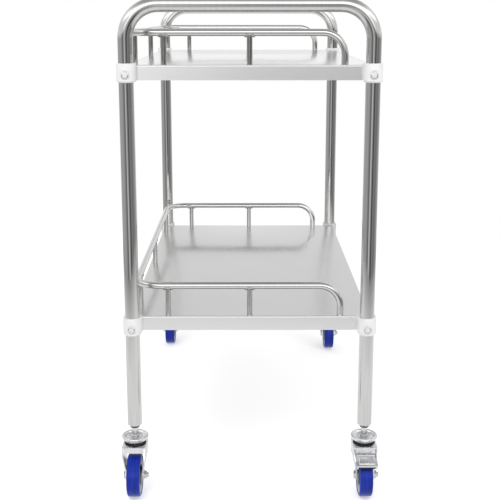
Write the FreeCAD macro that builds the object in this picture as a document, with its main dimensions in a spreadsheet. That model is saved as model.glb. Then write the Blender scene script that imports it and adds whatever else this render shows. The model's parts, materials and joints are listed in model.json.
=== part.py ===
"""Two-tier instrument cart: two U frames, two railed trays, corner clamps and four swivel castors.

Millimetres, +Z up. The origin is on the floor under the middle of the cart. +X is the cart's right,
the side where the guard rails are open, and the front frame stands at -Y.
"""

import FreeCAD, Part

import math
import os

import Sketcher

# ---- driving dimensions ----------------------------------------------------------------------------

DRIVING = {
    # frames
    "cart_height": 860.0,
    "leg_span": 404.0,
    "frame_gap": 760.0,
    "tube_dia": 25.0,
    "tube_wall": 1.2,
    "frame_bend_radius": 54.0,
    "leg_end_height": 126.0,
    "leg_taper": 4.0,
    "leg_tip_dia": 17.0,
    # trays
    "upper_tray_height": 750.0,
    "lower_tray_height": 318.0,
    "tray_setback": 15.0,
    "tray_side_overlap": 7.0,
    "tray_lip": 25.0,
    "tray_sheet": 1.2,
    "tray_bend_radius": 2.0,
    "tray_hem": 9.0,
    "stiffener_width": 36.0,
    "stiffener_flange": 12.0,
    "stiffener_depth": 15.0,
    "stiffener_sheet": 1.2,
    "stiffener_end_gap": 32.0,
    # guard rails
    "rail_dia": 12.0,
    "rail_wall": 1.2,
    "rail_rise": 52.5,
    "rail_inset": 10.5,
    "rail_corner_radius": 45.0,
    "rail_end_radius": 37.0,
    "rail_open_setback": 51.0,
    "rail_tail": 8.0,
    "rail_nut_flats": 18.0,
    "post_dia": 9.5,
    "post_side_offset": 67.0,
    "post_end_offset": 88.0,
    "post_tail": 8.0,
    "post_nut_flats": 14.0,
    "rail_nut_height": 5.0,
    "rail_splice": 1.0,
    "post_clearance": 0.1,
    # corner clamps and their bolts
    "clamp_wall": 3.25,
    "clamp_rise": 3.5,
    "clamp_drop": 2.5,
    "clamp_chamfer": 2.5,
    "clamp_edge_radius": 0.8,
    "clamp_clearance": 0.05,
    "clamp_recess_dia": 15.0,
    "clamp_recess_depth": 1.6,
    "clamp_bolt_drop": 15.3,
    "clamp_bolt_dia": 6.0,
    "clamp_bolt_clearance": 0.2,
    "clamp_bolt_head_dia": 12.5,
    "clamp_bolt_head_height": 2.4,
    "clamp_bolt_rounding": 1.7,
    "clamp_nut_flats": 10.0,
    "clamp_nut_height": 5.0,
    "clamp_bolt_end": 1.9,
    # castors
    "wheel_dia": 75.0,
    "tyre_width": 23.0,
    "tyre_depth": 6.0,
    "tyre_edge_radius": 3.0,
    "hub_width": 21.0,
    "hub_web": 8.0,
    "hub_rim_depth": 5.0,
    "hub_draft": 1.0,
    "hub_boss_dia": 22.0,
    "hub_boss_width": 25.0,
    "bearing_dia": 15.0,
    "axle_dia": 8.0,
    "running_clearance": 0.05,
    "castor_trail": 18.0,
    "fork_top": 91.8,
    "fork_sheet": 2.5,
    "fork_leg_gap": 26.5,
    "fork_crown_width": 43.5,
    "fork_crown_edge": 1.5,
    "fork_shoulder_drop": 19.0,
    "fork_waist_drop": 45.0,
    "fork_toe_radius": 9.5,
    "fork_knee_reach": 3.5,
    "fork_knee_drop": 37.0,
    "fork_rear_drop": 23.0,
    "fork_apron_drop": 10.0,
    "fork_front_corner": 5.0,
    "fork_rear_corner": 14.0,
    "fork_rear_reach": 23.0,
    "race_dia": 35.0,
    "race_height": 2.4,
    "swivel_gap": 0.8,
    "cap_dia": 47.0,
    "cap_sheet": 2.4,
    "cap_skirt_dia": 35.0,
    "cap_rim_rise": 5.5,
    "cap_rim_height": 5.5,
    "cap_rim_rounding": 1.6,
    "cap_rim_crest": 1.5,
    "cap_dish_rise": 6.8,
    "cap_dish_dia": 26.0,
    "ball_dia": 4.0,
    "ball_circle_dia": 24.0,
    "stem_dia": 10.0,
    "stem_nut_flats": 13.0,
    "stem_nut_height": 3.2,
    "stem_edge": 1.0,
    "stem_reach": 24.0,
    "stem_rivet_dia": 16.0,
    "stem_rivet_height": 3.0,
    "bush_flange_dia": 16.0,
    "bush_flange_height": 1.8,
    "bush_depth": 28.0,
    "bush_step_rise": 1.0,
    "bush_step_height": 2.0,
    "axle_head_flats": 13.0,
    "axle_head_height": 3.5,
    "axle_nut_height": 5.0,
    "axle_end_reach": 3.5,
    "side_gap": 0.3,
    # brake pedals
    "pedal_width": 35.0,
    "pedal_toe_width": 37.0,
    "pedal_sheet": 2.2,
    "pedal_flange": 6.0,
    "pedal_toe_reach": 28.0,
    "pedal_toe_drop": 8.0,
    "pedal_heel_reach": 5.0,
    "pedal_toe_start": 2.0,
    "pedal_ear_width": 10.0,
    "pedal_ear_drop": 2.0,
    "pedal_pin_gap": 0.4,
    "pedal_pin_inset": 0.5,
    "pedal_apron_gap": 1.4,
    "pedal_pivot_ahead": 3.0,
    "pedal_pin_dia": 5.0,
    "pedal_shoe_width": 18.0,
    "pedal_shoe_reach": 9.0,
    "pedal_shoe_gap": 5.2,
    "pedal_shoe_root": 1.0,
}

BALL_COUNT = 12

# A hexagon's corner radius over its flat radius.
HEX_CORNER = 1 / math.cos(math.radians(30))

# How far two points, or an edge and the face it lies on, may be apart and still count as one.
SAME = 1e-3
ON_FACE = 0.1

# The leg each castor stands under, and the way its wheel trails: -1 to the front, 1 to the rear.
CASTORS = {
    "front_left": {"side": -1, "end": -1, "wheel": -1, "brake": False},
    "front_right": {"side": 1, "end": -1, "wheel": -1, "brake": True},
    "rear_left": {"side": -1, "end": 1, "wheel": 1, "brake": True},
    "rear_right": {"side": 1, "end": 1, "wheel": -1, "brake": False},
}

# ---- sizes that are numbers here and expressions in the document -----------------------------------


class Size:
    """A driving dimension or a sum of them: its number now, and its text for an expression."""

    def __init__(self, value, text):
        self.value = value
        self.text = text

    def __add__(self, other):
        other = as_size(other)
        return Size(self.value + other.value, f"({self.text} + {other.text})")

    def __sub__(self, other):
        other = as_size(other)
        return Size(self.value - other.value, f"({self.text} - {other.text})")

    def __mul__(self, other):
        other = as_size(other)
        return Size(self.value * other.value, f"({self.text} * {other.text})")

    def __truediv__(self, other):
        other = as_size(other)
        return Size(self.value / other.value, f"({self.text} / {other.text})")

    def __neg__(self):
        return Size(-self.value, f"(0 - {self.text})")

    def __rmul__(self, factor):
        return self * factor

    def __radd__(self, other):
        return as_size(other) + self

    def __rsub__(self, other):
        return as_size(other) - self


def as_size(number):
    """A Size as it is, or a plain number made into one."""
    return number if isinstance(number, Size) else Size(float(number), str(float(number)))


def other_leg(hypotenuse, leg):
    """The third side of a right-angled triangle."""
    value = math.sqrt(hypotenuse.value**2 - leg.value**2)
    return Size(value, f"sqrt({hypotenuse.text}^2 - {leg.text}^2)")


doc = FreeCAD.newDocument("instrument_cart")
sheet = doc.addObject("Spreadsheet::Sheet", "sizes")
for row, (alias, number) in enumerate(DRIVING.items(), start=1):
    sheet.set(f"A{row}", alias)
    sheet.set(f"B{row}", str(number))
    sheet.setAlias(f"B{row}", alias)
doc.recompute()


class Sheet:
    """Each alias of the sheet as a Size."""


S = Sheet()
for alias, number in DRIVING.items():
    setattr(S, alias, Size(number, f"sizes.{alias}"))

nodes = []


def bind(thing, prop, size):
    """Tie a property to the sheet."""
    thing.setExpression(prop, as_size(size).text)


def place(thing, x=0.0, y=0.0, z=0.0, turn=0.0, axis=(0, 0, 1)):
    """Place an object at three sizes, turned by a fixed angle about an axis."""
    rotation = FreeCAD.Rotation(FreeCAD.Vector(*axis), turn)
    thing.Placement = FreeCAD.Placement(FreeCAD.Vector(0, 0, 0), rotation)
    for letter, size in (("x", x), ("y", y), ("z", z)):
        bind(thing, f"Placement.Base.{letter}", size)


def node(thing, label):
    """Keep an object as one of the cart's sub-parts, under its own name."""
    thing.Label = label
    nodes.append(thing)
    return thing


# ---- sketches --------------------------------------------------------------------------------------

START, END, CENTRE = 1, 2, 3
ORIGIN = -1
AXIS_ACROSS, AXIS_UP = -1, -2


def new_body(label, x=0.0, y=0.0, z=0.0, turn=0.0):
    body = doc.addObject("PartDesign::Body", label)
    place(body, x, y, z, turn)
    return node(body, label)


def sketch_on(body, plane, offset=None):
    """A sketch on one of the body's origin planes, moved along the plane's normal by offset.

    XY looks down Z. XZ has X across, Z up and its normal along -Y. YZ has Y across, Z up, normal +X.
    """
    sketch = body.newObject("Sketcher::SketchObject", f"{body.Label}_sketch")
    support = next(f for f in body.Origin.OriginFeatures if f.Role == f"{plane}_Plane")
    sketch.AttachmentSupport = [(support, "")]
    sketch.MapMode = "FlatFace"
    if offset is not None:
        bind(sketch, "AttachmentOffset.Base.z", offset)
    return sketch


def pin(sketch, geometry, point, x, y):
    """Fix one point of a sketch at two sizes from the sketch's origin."""
    for kind, axis, size in (("DistanceX", AXIS_UP, x), ("DistanceY", AXIS_ACROSS, y)):
        size = as_size(size)
        if size.value == 0 and "sizes" not in size.text:
            sketch.addConstraint(Sketcher.Constraint("PointOnObject", geometry, point, axis))
            continue
        constraint = Sketcher.Constraint(kind, ORIGIN, 1, geometry, point, size.value)
        index = sketch.addConstraint(constraint)
        bind(sketch, f"Constraints[{index}]", size)


def vector(point):
    return FreeCAD.Vector(as_size(point[0]).value, as_size(point[1]).value, 0)


def outline(sketch, points):
    """A closed run of straight lines through points, each point fixed by its two sizes."""
    first = None
    previous = None
    for index, point in enumerate(points):
        after = points[(index + 1) % len(points)]
        line = sketch.addGeometry(Part.LineSegment(vector(point), vector(after)))
        pin(sketch, line, START, *point)
        if previous is None:
            first = line
        else:
            sketch.addConstraint(Sketcher.Constraint("Coincident", previous, END, line, START))
        previous = line
    sketch.addConstraint(Sketcher.Constraint("Coincident", previous, END, first, START))


def rectangle(sketch, x_low, x_high, y_low, y_high):
    outline(sketch, [(x_low, y_low), (x_high, y_low), (x_high, y_high), (x_low, y_high)])


def circle(sketch, x, y, radius):
    centre = vector((x, y))
    size = as_size(radius)
    ring = sketch.addGeometry(Part.Circle(centre, FreeCAD.Vector(0, 0, 1), size.value))
    pin(sketch, ring, CENTRE, x, y)
    index = sketch.addConstraint(Sketcher.Constraint("Radius", ring, size.value))
    bind(sketch, f"Constraints[{index}]", size)


def step_towards(start, end, distance):
    """The point at a distance from start on the way to end, where the way runs along X or Y."""
    moved = []
    for a, b in zip(start, end):
        a, b = as_size(a), as_size(b)
        if abs(b.value - a.value) < SAME:
            moved.append(a)
        elif b.value > a.value:
            moved.append(a + distance)
        else:
            moved.append(a - distance)
    return tuple(moved)


def rounded_path(sketch, corners, radii):
    """An open run of lines along X or Y, with a tangent arc of its own radius at each inner corner."""
    stops = [(corners[0], None)]
    for before, corner, after, radius in zip(corners, corners[1:], corners[2:], radii):
        stops.append((step_towards(corner, before, radius), (corner, radius)))
        stops.append((step_towards(corner, after, radius), None))
    stops.append((corners[-1], None))
    lines = []
    for (start, _), (end, _) in zip(stops[0::2], stops[1::2]):
        line = sketch.addGeometry(Part.LineSegment(vector(start), vector(end)))
        pin(sketch, line, START, *start)
        pin(sketch, line, END, *end)
        lines.append(line)
    for index, (before, after) in enumerate(zip(lines, lines[1:])):
        corner, radius = stops[2 * index + 1][1]
        arc_between(sketch, before, after, vector(corner), radius)


def arc_between(sketch, before, after, corner, radius):
    """A tangent arc from the end of one line to the start of the next, rounding a right angle."""
    begin = sketch.getPoint(before, END)
    finish = sketch.getPoint(after, START)
    centre = begin + finish - corner
    outward = (corner - centre).normalize()
    middle = centre + outward * radius.value
    arc = sketch.addGeometry(Part.Arc(begin, middle, finish))
    forwards = sketch.getPoint(arc, START).distanceToPoint(begin) < SAME
    first, last = (START, END) if forwards else (END, START)
    sketch.addConstraint(Sketcher.Constraint("Coincident", arc, first, before, END))
    sketch.addConstraint(Sketcher.Constraint("Coincident", arc, last, after, START))
    index = sketch.addConstraint(Sketcher.Constraint("Radius", arc, radius.value))
    bind(sketch, f"Constraints[{index}]", radius)


# ---- features --------------------------------------------------------------------------------------


def pad(body, sketch, length, both_ways=False, reverse=False):
    feature = body.newObject("PartDesign::Pad", f"{body.Label}_pad")
    feature.Profile = sketch
    bind(feature, "Length", length)
    feature.SideType = "Symmetric" if both_ways else "One side"
    feature.Reversed = reverse
    return feature


def pocket(body, sketch, length=None, both_ways=False, reverse=False):
    """A pocket of a given depth, or one through everything on both sides of the sketch."""
    feature = body.newObject("PartDesign::Pocket", f"{body.Label}_pocket")
    feature.Profile = sketch
    if length is None:
        feature.Type = "ThroughAll"
        both_ways = True
    else:
        bind(feature, "Length", length)
    feature.SideType = "Symmetric" if both_ways else "One side"
    feature.Reversed = reverse
    return feature


def revolve(body, points):
    """Turn a half section about the body's Z axis. Each point is a radius and a height."""
    sketch = sketch_on(body, "XZ")
    outline(sketch, points)
    feature = body.newObject("PartDesign::Revolution", f"{body.Label}_turned")
    feature.Profile = sketch
    feature.ReferenceAxis = (sketch, ["V_Axis"])
    feature.Angle = 360.0
    return feature


def revolve_across(body, points):
    """Turn a half section about the line along X at axle height. Each point is an X and a radius."""
    sketch = sketch_on(body, "XZ")
    outline(sketch, points)
    feature = body.newObject("PartDesign::Revolution", f"{body.Label}_turned")
    feature.Profile = sketch
    feature.ReferenceAxis = (sketch, ["H_Axis"])
    feature.Angle = 360.0
    return feature


def pipe(body, profile, path):
    feature = body.newObject("PartDesign::AdditivePipe", f"{body.Label}_pipe")
    feature.Profile = profile
    feature.Spine = path
    return feature


def edges_where(feature, test):
    """The names of a feature's edges whose bounding box passes a test."""
    doc.recompute()
    found = []
    for index, edge in enumerate(feature.Shape.Edges, start=1):
        if test(edge, edge.BoundBox):
            found.append(f"Edge{index}")
    if not found:
        raise ValueError(f"no edge of {feature.Label} was found to round")
    return found


def fillet(body, base, radius, test):
    feature = body.newObject("PartDesign::Fillet", f"{body.Label}_fillet")
    feature.Base = (base, edges_where(base, test))
    bind(feature, "Radius", radius)
    return feature


def chamfer(body, base, size, test):
    feature = body.newObject("PartDesign::Chamfer", f"{body.Label}_chamfer")
    feature.Base = (base, edges_where(base, test))
    bind(feature, "Size", size)
    return feature


# ---- Part objects for fasteners and rods -----------------------------------------------------------


def cylinder(name, radius, height, x=0.0, y=0.0, z=0.0, turn=0.0, axis=(0, 0, 1)):
    rod = doc.addObject("Part::Cylinder", name)
    bind(rod, "Radius", radius)
    bind(rod, "Height", height)
    place(rod, x, y, z, turn, axis)
    return rod


def hexagon(name, flats, height, x=0.0, y=0.0, z=0.0, turn=0.0, axis=(0, 0, 1)):
    """A hexagonal prism of a given width across its flats."""
    prism = doc.addObject("Part::Prism", name)
    prism.Polygon = 6
    bind(prism, "Circumradius", as_size(flats) / 2 * HEX_CORNER)
    bind(prism, "Height", height)
    place(prism, x, y, z, turn, axis)
    return prism


def cut(name, base, tool):
    result = doc.addObject("Part::Cut", name)
    result.Base = base
    result.Tool = tool
    return result


def fuse(name, shapes):
    result = doc.addObject("Part::MultiFuse", name)
    result.Shapes = shapes
    return result


def mirrored(thing, normal):
    """A copy mirrored in the plane through the origin with this normal."""
    copy = doc.addObject("Part::Mirroring", f"{thing.Label}_mirror")
    copy.Source = thing
    copy.Normal = FreeCAD.Vector(*normal)
    return copy


def group(label, things):
    """Separate solids of one kind kept together as one sub-part."""
    compound = doc.addObject("Part::Compound", label)
    compound.Links = things
    return node(compound, label)


# ---- derived sizes ---------------------------------------------------------------------------------

tube_r = S.tube_dia / 2
leg_x = S.leg_span / 2
frame_y = S.frame_gap / 2
leg_tip_z = S.leg_end_height - S.leg_taper
bar_z = S.cart_height - tube_r

tray_half_length = frame_y - S.tray_setback
tray_half_width = leg_x + S.tray_side_overlap

rail_r = S.rail_dia / 2
post_r = S.post_dia / 2
rail_x = tray_half_width - S.rail_inset
rail_y = tray_half_length - S.rail_inset
rail_end_x = tray_half_width - S.rail_open_setback
post_x = tray_half_width - S.post_side_offset
post_y = tray_half_length - S.post_end_offset

clamp_r = tube_r + S.clamp_wall
axle_z = S.wheel_dia / 2


# ---- frames ----------------------------------------------------------------------------------------


def make_frame(label, end):
    """An upside-down U of tube. Both legs are drawn in at the tip and drilled for the clamp bolts."""
    body = new_body(label, y=frame_y * end)
    path = sketch_on(body, "XZ")
    corners = [
        (-leg_x, S.leg_end_height),
        (-leg_x, bar_z),
        (leg_x, bar_z),
        (leg_x, S.leg_end_height),
    ]
    rounded_path(path, corners, [S.frame_bend_radius, S.frame_bend_radius])
    section = sketch_on(body, "XY", S.leg_end_height)
    circle(section, -leg_x, 0, tube_r)
    circle(section, -leg_x, 0, tube_r - S.tube_wall)
    pipe(body, section, path)
    for side in (-1, 1):
        tip = sketch_on(body, "XZ")
        centre = leg_x * side
        tip_r = S.leg_tip_dia / 2
        outline(
            tip,
            [
                (centre + tip_r - S.tube_wall, leg_tip_z),
                (centre + tip_r, leg_tip_z),
                (centre + tube_r, S.leg_end_height),
                (centre + tube_r - S.tube_wall, S.leg_end_height),
            ],
        )
        axis = tip.addGeometry(Part.LineSegment(vector((centre, 0)), vector((centre, leg_tip_z))), True)
        pin(tip, axis, START, centre, 0)
        pin(tip, axis, END, centre, leg_tip_z)
        feature = body.newObject("PartDesign::Revolution", f"{label}_tip")
        feature.Profile = tip
        feature.ReferenceAxis = (tip, ["Axis0"])
        feature.Angle = 360.0
    drilling = sketch_on(body, "XZ")
    for height in (S.upper_tray_height, S.lower_tray_height):
        for side in (-1, 1):
            radius = S.clamp_bolt_dia / 2 + S.clamp_bolt_clearance
            circle(drilling, leg_x * side, height - S.clamp_bolt_drop, radius)
    pocket(body, drilling)


# ---- trays -----------------------------------------------------------------------------------------


def make_tray(label, height):
    """Folded sheet: a flat top, four lips turned down and a hem turned in, with holes for the rail."""
    body = new_body(label, z=height)
    blank = sketch_on(body, "XY")
    rectangle(blank, -tray_half_width, tray_half_width, -tray_half_length, tray_half_length)
    slab = pad(body, blank, S.tray_lip, reverse=True)

    def upright_or_top(edge, box):
        return box.ZLength > ON_FACE or box.ZMin > -ON_FACE

    fillet(body, slab, S.tray_bend_radius, upright_or_top)
    hollow = sketch_on(body, "XY", -S.tray_lip)
    inner_x = tray_half_width - S.tray_sheet
    inner_y = tray_half_length - S.tray_sheet
    rectangle(hollow, -inner_x, inner_x, -inner_y, inner_y)
    pocket(body, hollow, S.tray_lip - S.tray_sheet, reverse=True)
    hem = sketch_on(body, "XY", -S.tray_lip)
    rectangle(hem, -inner_x, inner_x, -inner_y, inner_y)
    hem_x = inner_x - S.tray_hem
    hem_y = inner_y - S.tray_hem
    rectangle(hem, -hem_x, hem_x, -hem_y, hem_y)
    pad(body, hem, S.tray_sheet)
    holes = sketch_on(body, "XY")
    post_hole_r = post_r + S.post_clearance
    for end in (-1, 1):
        circle(holes, -post_x, rail_y * end, post_hole_r)
        circle(holes, 0, rail_y * end, post_hole_r)
        circle(holes, -rail_x, post_y * end, post_hole_r)
        circle(holes, rail_end_x, rail_y * end, rail_r + S.post_clearance)
    circle(holes, -rail_x, 0, post_hole_r)
    pocket(body, holes, S.tray_sheet * 2)
    bolt_holes = sketch_on(body, "XZ")
    for side in (-1, 1):
        radius = S.clamp_bolt_dia / 2 + S.clamp_bolt_clearance
        circle(bolt_holes, leg_x * side, -S.clamp_bolt_drop, radius)
    pocket(body, bolt_holes)


def make_stiffener(label, height):
    """A hat-section channel under the tray's sheet, along its middle."""
    body = new_body(label, z=height - S.tray_sheet)
    section = sketch_on(body, "XZ")
    half = S.stiffener_width / 2
    brim = half + S.stiffener_flange
    sheet_t = S.stiffener_sheet
    depth = -S.stiffener_depth
    outline(
        section,
        [
            (-brim, 0),
            (-half + sheet_t, 0),
            (-half + sheet_t, depth + sheet_t),
            (half - sheet_t, depth + sheet_t),
            (half - sheet_t, 0),
            (brim, 0),
            (brim, -sheet_t),
            (half, -sheet_t),
            (half, depth),
            (-half, depth),
            (-half, -sheet_t),
            (-brim, -sheet_t),
        ],
    )
    pad(body, section, (tray_half_length - S.stiffener_end_gap) * 2, both_ways=True)


# ---- guard rails -----------------------------------------------------------------------------------


def make_guard_rail(label, height):
    """A tube round the two short sides and the left side, its open ends bent down through the tray."""
    body = new_body(label, z=height)
    bend_x = rail_end_x - S.rail_end_radius
    splice_x = bend_x - S.rail_splice
    plan = sketch_on(body, "XY", S.rail_rise)
    corners = [(bend_x, -rail_y), (-rail_x, -rail_y), (-rail_x, rail_y), (bend_x, rail_y)]
    rounded_path(plan, corners, [S.rail_corner_radius, S.rail_corner_radius])
    section = sketch_on(body, "YZ", bend_x)
    circle(section, -rail_y, S.rail_rise, rail_r)
    circle(section, -rail_y, S.rail_rise, rail_r - S.rail_wall)
    pipe(body, section, plan)
    for end in (-1, 1):
        drop = sketch_on(body, "XZ", rail_y * -end)
        bottom = -S.tray_sheet - S.rail_tail
        corners = [(splice_x, S.rail_rise), (rail_end_x, S.rail_rise), (rail_end_x, bottom)]
        rounded_path(drop, corners, [S.rail_end_radius])
        start = sketch_on(body, "YZ", splice_x)
        circle(start, rail_y * end, S.rail_rise, rail_r)
        circle(start, rail_y * end, S.rail_rise, rail_r - S.rail_wall)
        pipe(body, start, drop)


def post_places():
    """Where the posts of one half of a tray stand, and the direction of the rail above each."""
    return [
        ("corner", -post_x, -rail_y, (0, 1, 0)),
        ("middle", as_size(0), -rail_y, (0, 1, 0)),
        ("side", -rail_x, -post_y, (1, 0, 0)),
    ]


def make_post(name, height, x, y, rail_axis):
    """A rod whose foot passes through the tray and whose top is hollowed to fit under the rail."""
    foot_z = height - S.tray_sheet - S.post_tail
    rod_length = S.rail_rise + S.tray_sheet + S.post_tail
    rod = cylinder(f"{name}_rod", post_r, rod_length, x, y, foot_z)
    start_x = x - S.rail_dia if rail_axis[1] else x
    start_y = y + S.rail_dia if rail_axis[0] else y
    saddle = cylinder(
        f"{name}_saddle", rail_r, 2 * S.rail_dia, start_x, start_y, height + S.rail_rise, 90, rail_axis
    )
    return cut(name, rod, saddle)


def make_posts(label, height):
    posts = []
    for name, x, y, rail_axis in post_places():
        post = make_post(f"{label}_{name}", height, x, y, rail_axis)
        posts += [post, mirrored(post, (0, 1, 0))]
    posts.append(make_post(f"{label}_centre", height, -rail_x, as_size(0), (1, 0, 0)))
    group(label, posts)


def nut(name, flats, height, bore_r, x, y, z):
    blank = hexagon(f"{name}_blank", flats, height, x, y, z)
    bore = cylinder(f"{name}_bore", bore_r, height * 3, x, y, z - height)
    return cut(name, blank, bore)


def make_rail_nuts():
    """A nut under the tray on each post and on each rail end, for both trays."""
    nuts = []
    for tier, height in (("upper", S.upper_tray_height), ("lower", S.lower_tray_height)):
        z = height - S.tray_sheet - S.rail_nut_height
        for name, x, y, _ in post_places():
            one = nut(f"{tier}_{name}_nut", S.post_nut_flats, S.rail_nut_height, post_r, x, y, z)
            nuts += [one, mirrored(one, (0, 1, 0))]
        one = nut(f"{tier}_centre_nut", S.post_nut_flats, S.rail_nut_height, post_r, -rail_x, 0, z)
        nuts.append(one)
        one = nut(
            f"{tier}_end_nut", S.rail_nut_flats, S.rail_nut_height, rail_r, rail_end_x, -rail_y, z
        )
        nuts += [one, mirrored(one, (0, 1, 0))]
    group("rail_nuts", nuts)


# ---- corner clamps ---------------------------------------------------------------------------------


def make_clamp(label, side, end, height):
    """A plastic collar round a leg, flat at the back where it meets the tray's end lip."""
    bottom = height - S.tray_lip - S.clamp_drop
    tall = S.clamp_rise + S.tray_lip + S.clamp_drop
    turn = 0.0 if end < 0 else 180.0
    body = new_body(label, leg_x * side, frame_y * end, bottom, turn)
    plan = sketch_on(body, "XY")
    right = plan.addGeometry(Part.LineSegment(vector((clamp_r, S.tray_setback)), vector((clamp_r, 0))))
    back = plan.addGeometry(
        Part.LineSegment(vector((-clamp_r, S.tray_setback)), vector((clamp_r, S.tray_setback)))
    )
    left = plan.addGeometry(Part.LineSegment(vector((-clamp_r, 0)), vector((-clamp_r, S.tray_setback))))
    front = plan.addGeometry(
        Part.Arc(vector((-clamp_r, 0)), vector((0, -clamp_r)), vector((clamp_r, 0)))
    )
    pin(plan, right, START, clamp_r, S.tray_setback)
    pin(plan, right, END, clamp_r, 0)
    pin(plan, left, START, -clamp_r, 0)
    pin(plan, left, END, -clamp_r, S.tray_setback)
    plan.addConstraint(Sketcher.Constraint("Coincident", back, START, left, END))
    plan.addConstraint(Sketcher.Constraint("Coincident", back, END, right, START))
    plan.addConstraint(Sketcher.Constraint("Coincident", front, START, left, START))
    plan.addConstraint(Sketcher.Constraint("Coincident", front, END, right, END))
    plan.addConstraint(Sketcher.Constraint("PointOnObject", front, CENTRE, AXIS_ACROSS))
    block = pad(body, plan, tall)

    def front_foot(edge, box):
        return box.ZMax < ON_FACE and box.YMax < S.tray_setback.value - ON_FACE

    beveled = chamfer(body, block, S.clamp_chamfer, front_foot)

    def front_crown(edge, box):
        return box.ZMin > tall.value - ON_FACE and box.YMax < S.tray_setback.value - ON_FACE

    fillet(body, beveled, S.clamp_edge_radius, front_crown)
    bore = sketch_on(body, "XY")
    circle(bore, 0, 0, tube_r + S.clamp_clearance)
    pocket(body, bore)
    bolt_z = S.tray_lip + S.clamp_drop - S.clamp_bolt_drop
    seat = sketch_on(body, "XZ", clamp_r - S.clamp_recess_depth)
    circle(seat, 0, bolt_z, S.clamp_recess_dia / 2)
    pocket(body, seat, S.clamp_recess_depth * 3, reverse=True)
    hole = sketch_on(body, "XZ")
    circle(hole, 0, bolt_z, S.clamp_bolt_dia / 2 + S.clamp_bolt_clearance)
    pocket(body, hole)


def make_clamp_bolts():
    """One bolt through each clamp, leg and tray lip, with its nut inside the lip."""
    pieces = []
    for tier, height in (("upper", S.upper_tray_height), ("lower", S.lower_tray_height)):
        z = height - S.clamp_bolt_drop
        seat_y = -frame_y - clamp_r + S.clamp_recess_depth
        nut_y = -tray_half_length + S.tray_sheet
        nut_end = nut_y + S.clamp_nut_height
        shank_r = S.clamp_bolt_dia / 2
        shank_length = nut_end - seat_y + S.clamp_bolt_end
        shank = cylinder(f"{tier}_shank", shank_r, shank_length, -leg_x, seat_y, z, -90, (1, 0, 0))
        head = cylinder(
            f"{tier}_head",
            S.clamp_bolt_head_dia / 2,
            S.clamp_bolt_head_height,
            -leg_x,
            seat_y - S.clamp_bolt_head_height,
            z,
            -90,
            (1, 0, 0),
        )
        rim = doc.addObject("Part::Fillet", f"{tier}_head_rim")
        rim.Base = head
        doc.recompute()
        front = min(head.Shape.Edges, key=lambda edge: edge.BoundBox.YMax)
        number = 1 + [edge.isSame(front) for edge in head.Shape.Edges].index(True)
        rounding = S.clamp_bolt_rounding.value
        rim.Edges = [(number, rounding, rounding)]
        bolt = fuse(f"{tier}_bolt", [rim, shank])
        blank = hexagon(
            f"{tier}_nut_blank", S.clamp_nut_flats, S.clamp_nut_height, -leg_x, nut_y, z, -90, (1, 0, 0)
        )
        bore = cylinder(
            f"{tier}_nut_bore",
            shank_r,
            S.clamp_nut_height * 3,
            -leg_x,
            nut_y - S.clamp_nut_height,
            z,
            -90,
            (1, 0, 0),
        )
        clamp_nut = cut(f"{tier}_clamp_nut", blank, bore)
        for piece in (bolt, clamp_nut):
            opposite = mirrored(piece, (1, 0, 0))
            pieces += [piece, opposite, mirrored(piece, (0, 1, 0)), mirrored(opposite, (0, 1, 0))]
    group("clamp_bolts", pieces)


# ---- castors ---------------------------------------------------------------------------------------

race_top = S.fork_top + S.race_height
cap_bottom = race_top + S.swivel_gap
dish_z = cap_bottom + S.cap_dish_rise
stem_r = S.stem_dia / 2
fork_leg_x = S.fork_leg_gap / 2 + S.fork_sheet
axle_r = S.axle_dia / 2
bearing_bore_r = axle_r + S.running_clearance
apron_bottom_z = S.fork_top - S.fork_apron_drop
pedal_top_z = apron_bottom_z - S.pedal_apron_gap
pedal_pin_r = S.pedal_pin_dia / 2
pedal_pivot_z = pedal_top_z - S.pedal_sheet - pedal_pin_r - S.pedal_pin_gap


def castor_body(label, spec):
    """A body drawn about the swivel's axis, with its wheel trailing towards its own -Y."""
    turn = 0.0 if spec["wheel"] < 0 else 180.0
    return new_body(label, leg_x * spec["side"], frame_y * spec["end"], 0.0, turn)


def axle_place(spec):
    """Where a castor's axle is, over the floor plan and in height."""
    x = leg_x * spec["side"]
    y = frame_y * spec["end"] + S.castor_trail * spec["wheel"]
    return x, y, axle_z


def make_bush(name, spec):
    """The black plug in the leg's tip that grips the castor's stem."""
    body = castor_body(f"{name}_leg_bush", spec)
    top = leg_tip_z + S.bush_depth
    neck_r = S.leg_tip_dia / 2 - S.tube_wall - S.clamp_clearance
    body_r = tube_r - S.tube_wall - S.clamp_clearance
    grip_r = stem_r + S.clamp_clearance
    flange_z = leg_tip_z - S.bush_flange_height
    step_z = S.leg_end_height + S.bush_step_rise
    revolve(
        body,
        [
            (grip_r, flange_z),
            (S.bush_flange_dia / 2, flange_z),
            (S.bush_flange_dia / 2, leg_tip_z),
            (neck_r, leg_tip_z),
            (neck_r, step_z),
            (body_r, step_z + S.bush_step_height),
            (body_r, top),
            (grip_r, top),
        ],
    )


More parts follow.
